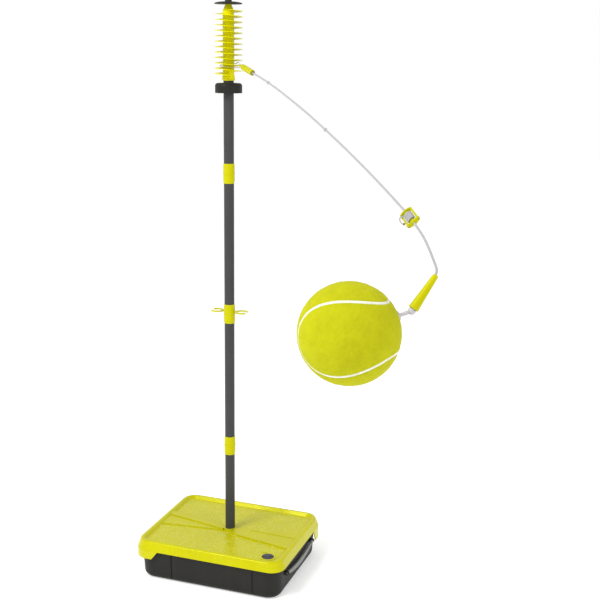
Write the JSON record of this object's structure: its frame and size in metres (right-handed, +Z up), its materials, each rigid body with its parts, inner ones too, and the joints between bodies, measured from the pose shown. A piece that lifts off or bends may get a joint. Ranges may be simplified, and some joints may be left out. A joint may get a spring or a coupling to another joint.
{
  "type": "tetherball set",
  "caption": "Swing-ball game: push-together mast on a carry-case base, helical spindle on top and a large felt ball on a cord with a length adjuster.",
  "frame": {"origin": "on the mast's axis, at the flat underside of the base", "axes": "+Z up the mast, +X along the base's long side towards the handle, +Y to the back of the base"},
  "size_m": [1.0731, 1.3239, 1.744],
  "materials": {
    "dark_plastic": "satin moulded",
    "tank_plastic": "blow moulded, matte",
    "handle_plastic": "satin moulded",
    "yellow_plastic": "gloss moulded",
    "gasket_rubber": "matte",
    "grey_plastic": "satin moulded",
    "mast_paint": "satin powder coat",
    "wire_steel": "bright drawn wire",
    "link_plastic": "satin",
    "cord_fabric": "braided",
    "white_plastic": "satin",
    "ball_rubber": "matte",
    "ball_felt": "napped felt"
  },
  "bodies": {
    "base": {"base_tray": "dark_plastic", "handle_lug_front": "dark_plastic", "handle_lug_back": "dark_plastic", "ballast_tank": "tank_plastic", "tank_neck": "tank_plastic"},
    "handle": {"carry_handle": "handle_plastic"},
    "lid": {"lid": "yellow_plastic"},
    "gasket": {"cap_gasket": "gasket_rubber"},
    "filler_cap": {"filler_cap": "grey_plastic"},
    "section_1": {"mast_tube_1": "mast_paint", "lower_collar": "yellow_plastic"},
    "section_2": {"mast_tube_2": "mast_paint", "middle_collar": "yellow_plastic"},
    "section_3": {"mast_tube_3": "mast_paint", "upper_collar": "yellow_plastic"},
    "section_4": {"mast_tube_4": "mast_paint", "bumper_collar": "dark_plastic"},
    "spindle": {"helix_spindle": "yellow_plastic"},
    "top_cap": {"top_cap": "dark_plastic"},
    "top_knob": {"top_knob": "grey_plastic"},
    "tether_loop": {"wire_loop": "wire_steel"},
    "tether": {"cord_link": "yellow_plastic", "cord_upper": "cord_fabric", "cord_knot_1": "cord_fabric", "cord_knot_2": "cord_fabric", "length_adjuster": "yellow_plastic", "cord_wraps": "cord_fabric", "cord_lower": "cord_fabric", "cord_sleeve": "yellow_plastic"},
    "ball_yoke": {"knuckle": "white_plastic", "ball_stem": "white_plastic"},
    "ball": {"ball_bladder": "ball_rubber", "ball_felt": "ball_felt"}
  },
  "joints": [
    {"name": "handle_swing", "type": "hinge", "parent": "base", "child": "handle", "pos_m": [0.2365, 0, 0.064], "axis": [0, -1, 0], "range_deg": [0, 100]},
    {"name": "lid_lift", "type": "slide", "parent": "base", "child": "lid", "axis": [0, 0, 1], "range_m": [0, 0.12]},
    {"name": "cap_rise", "type": "slide", "parent": "base", "child": "gasket", "axis": [0, 0, 1], "range_m": [0, 0.0091]},
    {"name": "cap_turn", "type": "hinge", "parent": "gasket", "child": "filler_cap", "pos_m": [0.181, -0.138, 0.116], "axis": [0, 0, 1], "range_deg": [0, 1080]},
    {"name": "section_1_pull", "type": "slide", "parent": "lid", "child": "section_1", "axis": [0, 0, 1], "range_m": [0, 0.1]},
    {"name": "section_2_pull", "type": "slide", "parent": "section_1", "child": "section_2", "axis": [0, 0, 1], "range_m": [0, 0.03]},
    {"name": "section_3_pull", "type": "slide", "parent": "section_2", "child": "section_3", "axis": [0, 0, 1], "range_m": [0, 0.03]},
    {"name": "section_4_pull", "type": "slide", "parent": "section_3", "child": "section_4", "axis": [0, 0, 1], "range_m": [0, 0.03]},
    {"name": "spindle_pull", "type": "slide", "parent": "section_4", "child": "spindle", "axis": [0, 0, 1], "range_m": [0, 0.04]},
    {"name": "top_cap_rise", "type": "slide", "parent": "spindle", "child": "top_cap", "axis": [0, 0, 1], "range_m": [0, 0.0046]},
    {"name": "knob_turn", "type": "hinge", "parent": "top_cap", "child": "top_knob", "pos_m": [0, 0, 1.73], "axis": [0, 0, 1], "range_deg": [0, 1080]},
    {"name": "tether_turn", "type": "hinge", "parent": "spindle", "child": "tether_loop", "pos_m": [0, 0, 1.55283], "axis": [0, 0, 1], "range_deg": [-110, 110]},
    {"name": "tether_swing", "type": "hinge", "parent": "tether_loop", "child": "tether", "pos_m": [0.04455, -0.0227, 1.55283], "axis": [0.766, 0.6428, 0], "range_deg": [-40, 28]},
    {"name": "ball_tilt", "type": "hinge", "parent": "tether", "child": "ball_yoke", "pos_m": [0.78917, -0.9827, 1.12786], "axis": [-0.322, 0.9184, -0.2298], "range_deg": [-106, 34]},
    {"name": "ball_spin", "type": "hinge", "parent": "ball_yoke", "child": "ball", "pos_m": [0.68328, -1.03035, 1.08579], "axis": [-0.8574, -0.3858, -0.3406], "continuous": true}
  ],
  "couplings": [
    {"joint": "cap_rise", "follows": "cap_turn", "m_per_rad": 0.00047746},
    {"joint": "top_cap_rise", "follows": "knob_turn", "m_per_rad": 0.00023873}
  ]
}
